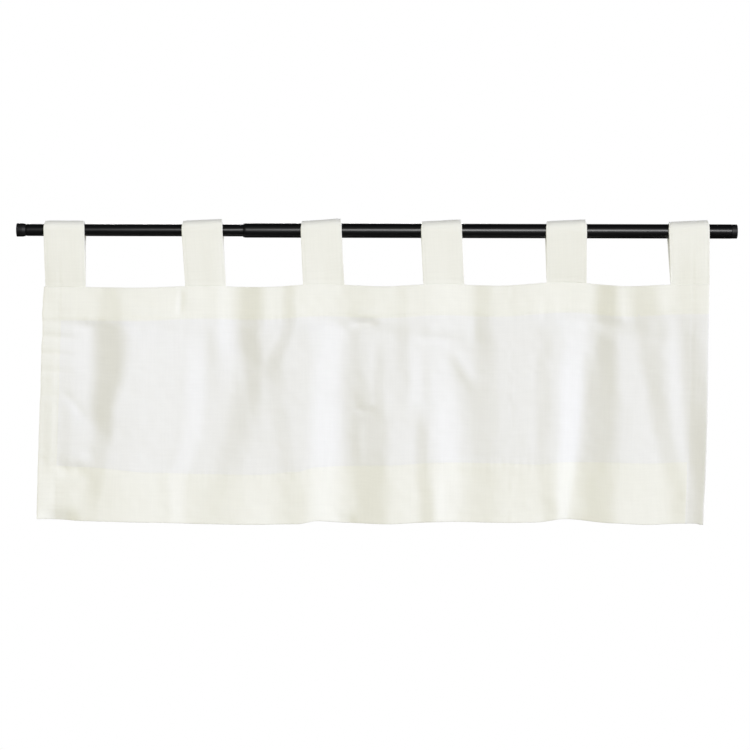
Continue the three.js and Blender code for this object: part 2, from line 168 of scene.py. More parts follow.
# Cotton: colours as linear light, texture scales as lumps for each metre.
# The two cotton colours are painted light: single cloth is painted whiter and cooler for light shining
# through it from behind, and double cloth creamier where less comes through. A side hem's painted tint goes
# from 0, as single cloth, to 1, as double cloth.
COTTON_SINGLE_PAINTED_BACKLIGHT = (0.855, 0.855, 0.829, 1)
COTTON_DOUBLE_PAINTED_BACKLIGHT = (0.877, 0.875, 0.803, 1)
LEFT_HEM_BACKLIGHT_TINT = 0.8
RIGHT_HEM_BACKLIGHT_TINT = 0.0
COTTON_ROUGHNESS = 0.93
COTTON_GLOSS = 0.06
COTTON_SHEEN = 0.06
SHEEN_ROUGHNESS = 0.6
WEAVE_PITCH = 0.62
WEAVE_BUMP = (0.25, 0.0003)
WAVE_TURN = 20
THREAD_WANDER = 0.6
THREAD_WANDER_SCALE = 0.6
WEFT_SLUB_SCALE = (24, 430, 1)
WARP_SLUB_SCALE = (480, 20, 1)
SLUB_DETAIL = 2
SLUB_TONE = 0.04
SLUB_HEIGHT = 0.8
CLOUD_SCALE = (14, 14, 1)
CLOUD_DETAIL = 3
CLOUD_TONE = 0.012

# Other finishes, which drift between two colours and two roughnesses.
# A grain is a texture scale and its detail, a bump is a strength and a depth.
Look = namedtuple("Look", "dark light scale detail smooth rough gloss")
THREAD_LOOK = Look((0.80, 0.80, 0.74, 1), (0.90, 0.90, 0.85, 1), (900, 900, 900), 2, 0.7, 0.7, 0.25)
PAINT_LOOK = Look((0.002, 0.002, 0.0025, 1), (0.005, 0.005, 0.005, 1), (9, 60, 60), 3, 0.26, 0.40, 0.4)
RUBBER_LOOK = Look((0.002, 0.002, 0.0025, 1), (0.010, 0.010, 0.010, 1), (160, 160, 160), 3, 0.4, 0.58, 0.3)
FLOOR_LOOK = Look((0.88, 0.88, 0.87, 1), (0.92, 0.92, 0.91, 1), (3, 3, 3), 2, 0.8, 0.8, 0.5)
THREAD_TWIST_SCALE = 520
THREAD_BUMP = (0.4, 0.0001)
PAINT_GRAIN = ((700, 700, 700), 2)
PAINT_BUMP = (0.12, 0.0001)
RUBBER_GRAIN = ((1100, 1100, 1100), 1)
RUBBER_BUMP = (0.25, 0.0002)
WHITE = (1, 1, 1, 1)

# Camera and surroundings, in metres and degrees
CAMERA_PLACE = (0.448, -3.0, -0.1803)
CAMERA_LENS = 115.2
CAMERA_SENSOR = 36
CAMERA_ROLL = 0.129
FLOOR_HEIGHT = -1.9
FLOOR_SIZE = 6.0
FLOOR_GLOW = 0.34
FLOOR_GLOW_COLOUR = (1, 0.99, 0.94, 1)
FLOOR_CORNERS = ((-1, -1), (1, -1), (1, 1), (-1, 1))
KEY_STRENGTH = 1.465
KEY_COLOUR = (0.674, 0.714, 1.0)
KEY_SOFTNESS = 25
KEY_TURN = 55
KEY_HEIGHT = 15
FILL_COLOUR = (1.0, 0.986, 0.9, 1)
FILL_STRENGTH = 1.319
FILL_NARROWING = 2.0
FILL_FROM_BELOW = 0.14
GLOSS_STRENGTH = 0.02
SOFTBOX_AWAY = (0.55, -3.2, 0.726)
SOFTBOX_SIZE = (1.6, 0.5)
SOFTBOX_POWER = 90

# Each tab: its middle along the rod, how far its lower end leans to the right and how much narrower
# it is there, and how far its crown stands off the rod at its left and right edges.
Tab = namedtuple("Tab", "name x lean narrowing lift_left lift_right")
TABS = (
    Tab("tab_1", 59.9, 0.4, 0.4, 1.2, 1.4),
    Tab("tab_2", 232, 3.8, 0.2, 1.4, 3.8),
    Tab("tab_3", 380.5, 3.2, -0.6, 0.0, 3.2),
    Tab("tab_4", 530.5, 3.5, -0.6, 0.0, 2.3),
    Tab("tab_5", 686.2, 1.7, 0.6, 0.3, 3.0),
    Tab("tab_6", 839, 1.2, 3, 0.0, 2.2),
)

# Each fold flank is a smooth step of the cloth towards the front (rise above zero) or back.
# Its knots, from the heading down: share of the drop, middle along the rod, breadth, rise.
MIDDLE, BREADTH, RISE = 1, 2, 3
FLANKS = (
    ("left edge", ((0.14, 40, 22, 0.5), (0.3, 38, 22, 1.5), (0.66, 36, 22, 3), (0.92, 40, 22, -2))),
    ("left hem", ((0.25, 60, 25, 0), (0.42, 60, 25, 2), (0.66, 60, 25, 3), (0.92, 58, 30, 2))),
    ("gap 1 hollow", (
        (0.14, 82, 34, -0.5), (0.19, 82, 34, -2), (0.32, 82, 34, -1), (0.46, 82, 34, 1),
        (0.64, 82, 34, 0))),
    ("gap 1 rise", (
        (0.13, 117, 46, 7.5), (0.175, 117, 62, 27), (0.36, 116, 62, 28), (0.52, 108, 43, 21),
        (0.63, 109, 36, 10), (0.73, 103, 40, 5.5), (0.85, 98, 32, 7), (0.96, 94, 30, 2.5))),
    ("gap 1 fall", ((0.14, 175, 110, -2), (0.3, 175, 110, -2), (0.6, 172, 100, -5), (0.92, 165, 95, -8.5))),
    ("tab 2 fall", (
        (0.14, 225, 34, -1), (0.25, 224, 34, -3), (0.4, 224, 36, -6), (0.64, 219, 40, -6.5),
        (0.8, 203, 32, -5.5), (0.92, 201, 28, -5.5))),
    ("tab 2 dip", ((0.14, 241, 22, 0.5), (0.23, 241, 22, 2.5), (0.34, 243, 22, 1.5), (0.48, 245, 22, 0))),
    ("tab 2 crease", ((0.11, 259, 24, -3), (0.2, 260, 26, -5), (0.36, 264, 28, -2), (0.5, 264, 28, 0))),
    ("gap 2 slope", (
        (0.3, 281, 34, 0), (0.38, 280, 36, 3), (0.47, 281, 40, 6), (0.62, 276, 56, 9),
        (0.78, 262, 52, 5), (0.92, 246, 50, 2))),
    ("gap 2 rise", (
        (0.12, 292, 54, 17.5), (0.19, 291, 43, 16.5), (0.27, 293.5, 41, 14.5), (0.35, 296, 36, 10),
        (0.45, 298, 28, 7), (0.56, 300, 22, 1), (0.66, 302, 22, 0))),
    ("gap 2 branch", (
        (0.14, 340, 26, 6), (0.22, 335, 25, 5), (0.33, 321, 36, 8.5), (0.44, 325, 36, 3),
        (0.64, 334, 33, 3.5), (0.92, 344, 46, 4))),
    ("gap 2 hem fall", ((0.7, 300, 50, 0), (0.92, 300, 62, -6))),
    ("tab 3 fall", (
        (0.13, 377, 66, -1), (0.2, 391, 62, -13), (0.44, 388, 58, -17.5), (0.64, 386, 58, -16),
        (0.92, 384, 48, -11))),
    ("gap 3 rise", (
        (0.14, 425, 70, 8), (0.21, 422, 24, 3), (0.34, 423, 26, 3), (0.42, 428, 40, 5),
        (0.53, 433, 66, 13.5), (0.62, 435, 80, 18.5), (0.74, 438, 82, 24), (0.92, 443, 76, 23))),
    ("gap 3 ease", ((0.16, 455, 66, -1), (0.24, 456, 66, -5), (0.42, 457, 66, -5), (0.58, 457, 66, 0))),
    ("gap 3 strip", (
        (0.2, 452, 20, 0), (0.3, 452, 20, 2.5), (0.44, 453, 20, 3), (0.7, 456, 20, 1.5),
        (0.84, 456, 20, 0))),
    ("gap 3 notch", ((0.14, 482, 28, 2), (0.19, 482, 28, 3), (0.36, 482, 28, 0.5), (0.5, 482, 28, 0))),
    ("gap 3 ridge", (
        (0.16, 498, 28, -0.5), (0.28, 499, 28, -4.5), (0.46, 500, 28, -5), (0.58, 499, 28, -0.5))),
    ("gap 3 crease", ((0.5, 510, 22, 0), (0.62, 507, 24, 5), (0.78, 507, 28, 6), (0.95, 513, 30, 7))),
    ("tab 4 fall", (
        (0.12, 541, 80, -7.5), (0.24, 534, 72, -9.5), (0.36, 531, 54, -10), (0.64, 538, 48, -8.2),
        (0.8, 538, 42, -9.3), (0.92, 536, 36, -8.6))),
    ("gap 4 rise", (
        (0.14, 583, 36, 6), (0.24, 585, 38, 6.5), (0.36, 586, 42, 5), (0.44, 579, 56, 8.5),
        (0.64, 583, 62, 9), (0.92, 583, 62, 8))),
    ("gap 4 fall", ((0.12, 630, 62, 2), (0.22, 619, 75, -2.5), (0.5, 619, 75, 1))),
    ("gap 4 ridge", (
        (0.14, 666, 20, 0.5), (0.22, 662, 24, 1), (0.4, 659, 32, 4), (0.84, 661, 28, 3),
        (0.97, 667, 24, 4.5))),
    ("tab 5 fall", (
        (0.12, 692, 60, 2), (0.2, 701, 52, -11.5), (0.36, 695, 46, -12), (0.64, 692, 40, -16.5),
        (0.8, 688, 33, -16), (0.9, 685, 25, -12.5), (0.98, 684, 18, -7))),
    ("gap 5 shoulder", ((0.24, 715, 22, 0), (0.34, 716, 22, 3.5), (0.5, 716, 22, 3), (0.64, 710, 22, 0))),
    ("gap 5 rise", (
        (0.12, 738, 43, 17.5), (0.18, 740, 34, 9.5), (0.26, 738, 37, 16), (0.44, 736, 49, 18),
        (0.64, 731, 66, 19), (0.92, 723, 73, 21.5))),
    ("gap 5 ridge", (
        (0.12, 784, 54, 13), (0.22, 790, 47, 10), (0.33, 794, 45, 11), (0.44, 799, 39, 9),
        (0.55, 804, 38, 8.5), (0.66, 811, 34, 6), (0.92, 829, 46, 7))),
    ("tab 6 fall", ((0.12, 822, 22, 0), (0.2, 821, 22, -1), (0.46, 823, 22, -1.5), (0.7, 824, 22, 0))),
    ("right edge", (
        (0.12, 840, 55, 6), (0.2, 841, 46, 9.5), (0.42, 848, 50, 13.5), (0.64, 853, 44, 18.5),
        (0.92, 856, 39, 17))),
)

# Broad turns of the whole cloth towards one side, in the same form but not given back.
TURNS = (
    ("left turn", ((0, 66, 130, 3), (1, 66, 130, 3))),
    ("right turn", ((0, 785, 270, 11), (1, 785, 270, 12))),
)

# Side edges of the panel: share of its drop, left edge, right edge.
LEFT_EDGE, RIGHT_EDGE = 1, 2
SIDE_EDGES = (
    (0, 33, 864.2), (0.07, 31.6, 864.1), (0.12, 30.8, 863.8), (0.175, 31.2, 863.6), (0.28, 29.6, 863.1),
    (0.42, 28.7, 862.4), (0.53, 27.3, 861.8), (0.68, 26.5, 860.7), (0.76, 25.6, 859.7), (1, 24.8, 857.1),
)

# Top edge of the heading: place along the rod, drop below the rod's axis.
DROP = 1
HEADING_LINE = (
    (60, 70.5), (146, 71.8), (236, 69), (305, 70.6), (384, 66.6), (457, 69.3),
    (534, 66), (600, 68.1), (688, 63), (765, 68.7), (841, 66),
)

# Lower edge of the hem: place along the rod, drop below the rod's axis, height of the hem.
HEM_HEIGHT = 2
HEM_LINE = (
    (24, 361.6, 69), (84, 363.9, 68), (174, 365.7, 63), (232, 367.4, 63), (300, 368, 63),
    (350, 367.2, 66), (376, 363.3, 68), (412, 366, 72), (460, 366.9, 74), (534, 363.9, 75),
    (612, 364.9, 75), (650, 364.5, 73), (684, 360.4, 72), (744, 364.7, 76), (789, 366.7, 77),
    (834, 365, 77), (848, 364.8, 77), (852.5, 366, 77), (857, 366.2, 77),
)

# Small creases, each from a start to an end given along the rod and below its axis,
# with its breadth and how far its middle stands forward.
CREASES = (
    ("side hem pull 1", 14, 114, 74, 116, 8, -1.2),
    ("side hem pull 2", 14, 132, 72, 135, 8, -1.9),
    ("side hem pull 3", 14, 153, 70, 156, 8, -2.1),
    ("side hem pull 4", 20, 175, 68, 178, 9, -1.7),
    ("side hem pull 5", 20, 206, 70, 209, 10, -1.3),
    ("left seam trough", 36, 108, 84, 110, 20, -1.4),
    ("left seam ridge", 36, 121, 84, 123, 20, 1.4),
    ("left diagonal", 53, 197, 87, 237, 11, -1.3),
    ("left hem bulge", 56, 288, 90, 285, 18, 2.2),
    ("left hem tuck", 52, 303, 86, 300, 18, -3.6),
    ("left edge tuck", 20, 288, 38, 288, 11, -1.6),
    ("left hem curl", 32, 366, 74, 366, 28, -8),
    ("gap 1 seam ridge", 132, 108, 205, 109, 20, 2.2),
    ("gap 1 seam trough", 132, 122, 205, 123, 20, -2.2),
    ("tab 2 line", 206, 74, 203, 106, 7, -2.0),
    ("tab 2 seam tuck", 270, 113, 345, 113, 10, -1.2),
    ("gap 3 bulge upper", 416, 107, 448, 103, 12, 2.0),
    ("gap 3 tuck upper", 418, 117, 450, 114, 13, -4.2),
    ("gap 3 edge upper", 414, 132, 415, 200, 14, 0.8),
    ("gap 3 edge middle", 425, 205, 426, 229, 14, -1.0),
    ("gap 3 edge lower", 428, 236, 429, 300, 14, 1.2),
    ("gap 3 crest upper", 452, 132, 454, 190, 16, -0.9),
    ("gap 3 crest lower", 457, 236, 459, 268, 14, -0.9),
    ("gap 3 fold lower", 427, 218, 447, 215, 9, 1.1),
    ("gap 3 tuck lower", 427, 226, 447, 223, 9, -1.5),
    ("gap 3 hem curl", 397, 366, 423, 366, 20, -3.5),
    ("tab 4 tuck", 545, 150, 571, 194, 18, 2.6),
    ("tab 4 wrinkle", 498, 133, 552, 136, 12, -2.0),
    ("tab 4 edge", 572, 102, 573, 142, 16, -1.6),
    ("tab 4 hem pull", 526, 291, 596, 294, 16, 1.8),
    ("tab 4 hem trough", 534, 298, 533, 372, 14, -0.7),
    ("tab 4 hem ridge", 546, 298, 546, 372, 14, 0.7),
    ("tab 5 edge", 686, 108, 687, 134, 20, -1.0),
    ("gap 5 tuck", 702, 113, 752, 114, 12, -1.6),
    ("gap 5 band ridge", 728, 110, 730, 136, 24, 1.1),
    ("gap 5 band trough", 751, 110, 751, 136, 24, -1.1),
    ("gap 5 seam trough", 752, 107, 842, 108, 20, -1.3),
    ("gap 5 seam ridge", 752, 121, 842, 122, 20, 1.3),
    ("gap 5 ease", 799, 104, 802, 146, 18, -1.6),
    ("gap 4 hem curl", 450, 374, 560, 374, 36, -2.0),
    ("gap 5 hem curl", 650, 371, 745, 372, 36, -2.0),
    ("right hem ridge", 838, 305, 836, 374, 22, 0.9),
)

HEADING_LEFT = SIDE_EDGES[0][LEFT_EDGE]
HEADING_RIGHT = SIDE_EDGES[0][RIGHT_EDGE]
HEADING_WIDTH = HEADING_RIGHT - HEADING_LEFT
SIDE_SEAM = SIDE_HEM_WIDTH - STITCH_INSET


def blend(start, end, part):
    """Value at a part of the way from start to end."""
    return start + (end - start) * part


def eased(place, low, high):
    """Smooth step from 0 at low to 1 at high."""
    part = np.clip((place - low) / (high - low), 0.0, 1.0)
    return part * part * (3.0 - 2.0 * part)


def table_at(rows, column, place):
    """One column of a table at places between its rows, eased from row to row."""
    keys = np.array([row[0] for row in rows], float)
    values = np.array([row[column] for row in rows], float)
    after = np.clip(np.searchsorted(keys, place, side="right"), 1, len(keys) - 1)
    part = eased(place, keys[after - 1], keys[after])
    return blend(values[after - 1], values[after], part)


def smooth_at(knots, column, place):
    """One column of a flank's knots as a smooth curve, level past both end knots."""
    keys = np.array([knot[0] for knot in knots], float)
    values = np.array([knot[column] for knot in knots], float)
    slopes = np.zeros_like(values)
    slopes[1:-1] = (values[2:] - values[:-2]) / (keys[2:] - keys[:-2])
    after = np.clip(np.searchsorted(keys, place, side="right"), 1, len(keys) - 1)
    before = after - 1
    span = keys[after] - keys[before]
    part = np.clip((place - keys[before]) / span, 0.0, 1.0)
    leaving = part * (1 - part) ** 2 * span * slopes[before]
    reaching = part**2 * (1 - part) * span * slopes[after]
    return blend(values[before], values[after], eased(part, 0, 1)) + leaving - reaching


def flank_step(part):
    """Step from 0 to 1 as part goes from -0.5 to 0.5: an even slope with rounded shoulders."""
    place = np.clip(part + 0.5, 0.0, 1.0)
    near = np.minimum(place, 1 - place)
    ramp = np.clip(near / FLANK_SHOULDER, 0.0, 1.0)
    rise = FLANK_SHOULDER * (ramp**3 - ramp**4 / 2) + np.maximum(near - FLANK_SHOULDER, 0.0)
    rise = rise / (1 - FLANK_SHOULDER)
    return np.where(place < 0.5, rise, 1 - rise)


def fold_depth(x, share):
    """How far the cloth stands forward of its hanging plane. A flank's step is given back around it."""
    depth = np.zeros_like(x)
    for _, knots in FLANKS + TURNS:
        away = x - smooth_at(knots, MIDDLE, share)
        depth += smooth_at(knots, RISE, share) * flank_step(away / smooth_at(knots, BREADTH, share))
    for _, knots in FLANKS:
        away = x - smooth_at(knots, MIDDLE, share)
        depth -= smooth_at(knots, RISE, share) * flank_step(away / FOLD_REACH)
    return depth


def column_x(across, share):
    """Place along X: the cloth's columns hang straight down, but the side edges wander."""
    left_shift = table_at(SIDE_EDGES, LEFT_EDGE, share) - HEADING_LEFT
    right_shift = table_at(SIDE_EDGES, RIGHT_EDGE, share) - HEADING_RIGHT
    left_pull = 1 - eased(across, 0, EDGE_ZONE)
    right_pull = eased(across, 1 - EDGE_ZONE, 1)
    x = blend(HEADING_LEFT, HEADING_RIGHT, across)
    return x + left_shift * left_pull + right_shift * right_pull


def cloth_drop(across):
    """Length of the panel from its top edge to its lower edge."""
    top = table_at(HEADING_LINE, DROP, column_x(across, 0.0))
    bottom = table_at(HEM_LINE, DROP, column_x(across, 1.0))
    return bottom - top


def heading_end(across):
    """Share of the drop at the heading's lower seam."""
    return blend(FACING_HEIGHT_LEFT, FACING_HEIGHT_RIGHT, across) / cloth_drop(across)


def hem_top(across):
    """Share of the drop at the top of the bottom hem."""
    return 1 - table_at(HEM_LINE, HEM_HEIGHT, column_x(across, 1.0)) / cloth_drop(across)


def hem_seam(across):
    """Share of the drop at the sewn line of the bottom hem."""
    return hem_top(across) + STITCH_INSET / cloth_drop(across)


def soft_noise(x, z, size, seed):
    """Smooth uneven values between -1 and 1, in lumps of about the given size."""
    lattice = np.random.default_rng(seed).uniform(-1, 1, (NOISE_CELLS + 1, NOISE_CELLS + 1))
    column, row = x / size + NOISE_SHIFT[0], z / size + NOISE_SHIFT[1]
    left, low = np.floor(column).astype(int), np.floor(row).astype(int)
    right_part = eased(column - left, 0, 1)
    high_part = eased(row - low, 0, 1)
    left, low = left % NOISE_CELLS, low % NOISE_CELLS
    lower = blend(lattice[low, left], lattice[low, left + 1], right_part)
    upper = blend(lattice[low + 1, left], lattice[low + 1, left + 1], right_part)
    return blend(lower, upper, high_part)


def crease_relief(x, drop):
    """Small creases of the table: soft troughs and ridges that fade at their ends."""
    relief = np.zeros_like(x)
    for _, x_start, drop_start, x_end, drop_end, width, height in CREASES:
        along_x, along_drop = x_end - x_start, drop_end - drop_start
        length = math.hypot(along_x, along_drop)
        place = ((x - x_start) * along_x + (drop - drop_start) * along_drop) / length**2
        away = ((x - x_start) * along_drop - (drop - drop_start) * along_x) / length
        fade = eased(place, *CREASE_FADE) * eased(1 - place, *CREASE_FADE)
        relief += height * fade * np.exp(-((away / (width / 2)) ** 2))
    return relief


def seam_relief(distance, along, depth):
    """A sewn line: a narrow groove, with small puckers on both sides of it."""
    groove = -depth * np.exp(-((distance / GROOVE_WIDTH) ** 2))
    count = along / PUCKER_PITCH
    for share, length in PUCKER_WANDER:
        count = count + share * np.sin(along / length)
    strength = 0.5 + 0.5 * np.sin(along / PUCKER_FADE[0]) * np.sin(along / PUCKER_FADE[1])
    pucker = PUCKER_DEPTH * strength * np.sin(TURN * count)
    return groove + pucker * np.exp(-np.abs(distance) / PUCKER_REACH)


def cloth_point(across, share):
    """Point on the front face of the panel, with its folds, seams and small creases."""
    x = column_x(across, share)
    top = table_at(HEADING_LINE, DROP, x)
    bottom = table_at(HEM_LINE, DROP, x)
    drop = blend(top, bottom, share)
    length = bottom - top
    relief = crease_relief(x, drop)
    relief += seam_relief((share - heading_end(across)) * length, x, HEADING_GROOVE)
    relief += seam_relief((share - hem_seam(across)) * length, x + HEM_PUCKER_SHIFT, HEM_GROOVE)
    side = np.minimum(across, 1 - across) * HEADING_WIDTH
    relief += seam_relief(side - SIDE_SEAM, drop, SIDE_GROOVE)
    for height, size, seed in RUMPLES:
        relief += height * soft_noise(x, drop, size, seed)
    y = HANG_BACK - fold_depth(x, share) - relief
    return np.stack([x, y, -drop], axis=-1)


def cloth_normal(across, share):
    """Unit direction out of the front face of the panel."""
    over = cloth_point(across + SLOPE_ACROSS, share) - cloth_point(across - SLOPE_ACROSS, share)
    down = cloth_point(across, share + SLOPE_DOWN) - cloth_point(across, share - SLOPE_DOWN)
    normal = np.cross(down, over)
    return normal / np.linalg.norm(normal, axis=-1, keepdims=True)


def edge_round(distance, thickness):
    """Share of the full thickness near an edge that is folded round."""
    part = np.clip(distance / (0.5 * thickness), 0.0, 1.0)
    return np.sqrt(1 - (1 - part) ** 2)


def spaced(start, end, count):
    """Even places from start to end, both included."""
    return np.linspace(start, end, count + 1)


def cloth_columns(left, right):
    """Shares across the cloth between two edges, closer together at edges and side hems."""
    count = round((right - left) / COLUMN_SPACING)
    edge = CLOTH_THICKNESS * np.array(EDGE_STEPS)
    hem = np.array([SIDE_HEM_WIDTH, SIDE_HEM_WIDTH + HEM_STEP])
    places = [edge + left, spaced(left + EDGE_COLUMN, right - EDGE_COLUMN, count), right - edge]
    places += [hem, HEADING_WIDTH - hem]
    every = np.unique(np.round(np.concatenate(places), PLACE_DIGITS))
    return every[(every >= left) & (every <= right)] / HEADING_WIDTH


def panel_shares(across):
    """Shares of the drop at the panel's rows, for each column, and the bottom hem's first row."""
    drop = cloth_drop(across)
    edge = CLOTH_THICKNESS * np.array(EDGE_STEPS)
    first, last = heading_end(across), hem_top(across)
    step = HEM_STEP / drop
    rows = [place / drop for place in edge[:-1]]
    top = edge[-1] / drop
    rows += [blend(top, first, part) for part in spaced(0, 1, HEADING_ROWS)]
    rows += [blend(first, last, part) for part in spaced(0, 1, BODY_ROWS)[1:]]
    hem_start = len(rows)
    bottom = 1 - edge[-1] * HEM_LAYERS / drop
    rows += [blend(last + step, bottom, part) for part in spaced(0, 1, HEM_ROWS)]
    rows += [1 - place * HEM_LAYERS / drop for place in edge[-2::-1]]
    return np.array(rows), hem_start


def texture_places(points):
    """Places on the flat cloth for a grid of points, in metres along the weft and the warp."""
    over = np.linalg.norm(np.diff(points, axis=1), axis=2).cumsum(axis=1)
    down = np.linalg.norm(np.diff(points, axis=0), axis=2).cumsum(axis=0)
    weft = np.pad(over, ((0, 0), (1, 0)))
    warp = np.pad(down, ((1, 0), (0, 0)))
    weft -= weft[:, weft.shape[1] // 2, None]
    return np.stack([weft, -warp], axis=-1) * MM


def grid_faces(index):
    """Four-sided faces of a grid of point numbers, facing the front."""
    corners = [index[:-1, :-1], index[1:, :-1], index[1:, 1:], index[:-1, 1:]]
    return np.stack([corner.ravel() for corner in corners], axis=1)


def linked(name, data):
    """A new object in the scene that shows a mesh, a light or a camera."""
    thing = bpy.data.objects.new(name, data)
    bpy.context.collection.objects.link(thing)
    return thing


def mesh_object(name, points, faces, material):
    """A smooth mesh object at the origin from points in millimetres."""
    mesh = bpy.data.meshes.new(name)
    mesh.from_pydata((points * MM).tolist(), [], faces.tolist())
    mesh.shade_smooth()
    mesh.materials.append(material)
    return linked(name, mesh)


def sheet_object(name, front, back, backlight_tint, material):
    """A closed sheet of cloth from two grids of points that meet along their border."""
    rows, columns = front.shape[:2]
    index = np.arange(rows * columns).reshape(rows, columns)
    back_index = index.copy()
    inner_count = (rows - 2) * (columns - 2)
    back_index[1:-1, 1:-1] = rows * columns + np.arange(inner_count).reshape(rows - 2, columns - 2)
    points = np.concatenate([front.reshape(-1, 3), back[1:-1, 1:-1].reshape(-1, 3)])
    faces = np.concatenate([grid_faces(index), grid_faces(back_index)[:, ::-1]])
    piece = mesh_object(name, points, faces, material)

    places = texture_places(front)
    every_place = np.concatenate([places.reshape(-1, 2), places[1:-1, 1:-1].reshape(-1, 2)])
    texture = piece.data.uv_layers.new(name="cloth")
    texture.data.foreach_set("uv", every_place[faces.ravel()].ravel())
    # Painted light: each point's tint, from 0 for single cloth painted whiter for light shining through
    # from behind, to 1 for double cloth painted creamier.
    backlight_field = np.concatenate([backlight_tint.ravel(), backlight_tint[1:-1, 1:-1].ravel()])
    attribute = piece.data.attributes.new("backlight_tint", "FLOAT", "POINT")
    attribute.data.foreach_set("value", backlight_field)
    return piece


def make_panel(material):
    """The panel: single cloth, double where the bottom and side hems are turned to the back."""
    across = cloth_columns(0, HEADING_WIDTH)
    shares, hem_start = panel_shares(across)
    across = np.broadcast_to(across, shares.shape)
    drop = cloth_drop(across)
    side = np.minimum(across, 1 - across) * HEADING_WIDTH
    in_hem = np.broadcast_to(np.arange(len(shares))[:, None] >= hem_start, shares.shape)
    in_side = side < SIDE_HEM_WIDTH + 0.5 * HEM_STEP
    thickness = np.where(in_hem | in_side, HEM_LAYERS, 1) * CLOTH_THICKNESS
    edge = np.minimum(side, np.minimum(shares, 1 - shares) * drop)
    rounded = edge_round(edge, thickness)
    front = cloth_point(across, shares)
    normal = cloth_normal(across, shares)
    middle = front - normal * 0.5 * thickness[..., None]
    half = normal * (0.5 * thickness * rounded)[..., None]
    # Painted light: heading and bottom hem are painted creamy, as cloth with less light shining through
    # from behind; the side hems get painted tints of their own.
    in_heading = shares <= heading_end(across)
    backlight_tint = np.where(in_hem | in_heading, 1.0, 0.0)
    backlight_tint[in_side & (across < 0.5) & ~(in_hem | in_heading)] = LEFT_HEM_BACKLIGHT_TINT
    backlight_tint[in_side & (across > 0.5) & ~in_heading] = RIGHT_HEM_BACKLIGHT_TINT
    return sheet_object("valance_panel", middle + half, middle - half, backlight_tint, material)


def make_facing(material):
    """The heading's facing strip behind the panel, which just reaches over the side hems."""
    inset = SIDE_HEM_WIDTH - FACING_OVERLAP
    across = cloth_columns(inset, HEADING_WIDTH - inset)
    drop = cloth_drop(across)
    edge = CLOTH_THICKNESS * np.array(EDGE_STEPS)
    end = heading_end(across) + STITCH_INSET / drop
    rows = [place / drop for place in edge]
    rows += [blend(edge[-1] / drop, end - edge[-1] / drop, part) for part in spaced(0, 1, HEADING_ROWS)[1:]]
    rows += [end - place / drop for place in edge[-2::-1]]
    shares = np.array(rows)
    across = np.broadcast_to(across, shares.shape)
    side = np.minimum(across, 1 - across) * HEADING_WIDTH
    rim = np.minimum(side - inset, np.minimum(shares, end - shares) * drop)
    rounded = edge_round(rim, CLOTH_THICKNESS)
    normal = cloth_normal(across, shares)
    hem_lift = CLOTH_THICKNESS * (1 - eased(side, SIDE_HEM_WIDTH, SIDE_HEM_WIDTH + 2 * HEM_STEP))
    depth = 1.5 * CLOTH_THICKNESS + FACING_GAP + hem_lift
    middle = cloth_point(across, shares) - normal * depth[..., None]
    half = normal * (0.5 * CLOTH_THICKNESS * rounded)[..., None]
    # Painted light: the facing is painted creamy, as double cloth with less light shining through from
    # behind.
    backlight_tint = np.ones_like(shares)
    return sheet_object("valance_facing", middle + half, middle - half, backlight_tint, material)


def node_box(name):
    """Lowest and highest corner of a CAD node, in millimetres."""
    low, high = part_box(name)
    return np.array(low) / MM, np.array(high) / MM


def tube_radius(name):
    """Outer radius of a CAD tube that lies along X, in millimetres."""
    low, high = node_box(name)
    return 0.5 * (high[2] - low[2])


def on_thin_tube(tab):
    """Whether a tab hangs on the thin tube, left of where the thick one starts."""
    return tab.x < node_box("rod_outer_tube")[0][0]


def strap_leg(side, angle, arch_radius, seam, crown_x):
    """Rows of a strap's leg from the seam up to the rod. side is -1 in front of it, 1 behind."""
    up = np.concatenate([[0, TAB_END_CLOSE], spaced(0, 1, TAB_LEG_ROWS)[1:-1]])[:, None]
    bow = TAB_LEG_BOW * 4 * up * (1 - up)
    x = blend(seam[:, 0], crown_x, up)
    y = blend(seam[:, 1] + side * TAB_END_SLIT / 2, arch_radius * np.cos(angle), up) + side * bow
    z = blend(seam[:, 2], arch_radius * np.sin(angle), up)
    turned = eased(up, TAB_TURN_START, 1)
    outward_y = blend(side, np.cos(angle), turned)
    outward_z = np.sin(angle) * turned
    thickness = blend(TAB_END_THICKNESS, TAB_LEG_THICKNESS, eased(up, 0, TAB_END_REACH)) * np.ones_like(x)
    return np.stack([x, y, z], axis=-1), outward_y, outward_z, thickness


def strap_arch(tab, cross, front_angle, back_angle, arch_radius, crown_x):
    """Rows of a strap over the rod, lifted off it by the tab's own amount."""
    part = spaced(0, 1, TAB_ARCH_ROWS)[:, None]
    angle = blend(front_angle, back_angle, part)
    height = np.maximum(0, np.sin(angle))
    lift = blend(tab.lift_left, tab.lift_right, cross) * eased(height, 0, TAB_LIFT_START)
    x = crown_x - TAB_CORNER_PULL * eased(height, TAB_PULL_START, 1) * (2 * cross - 1)
    y = arch_radius * np.cos(angle)
    z = arch_radius * np.sin(angle) + lift
    thickness = blend(TAB_LEG_THICKNESS, TAB_CROWN_THICKNESS, height)
    return np.stack([x, y, z], axis=-1), np.cos(angle), np.sin(angle), thickness


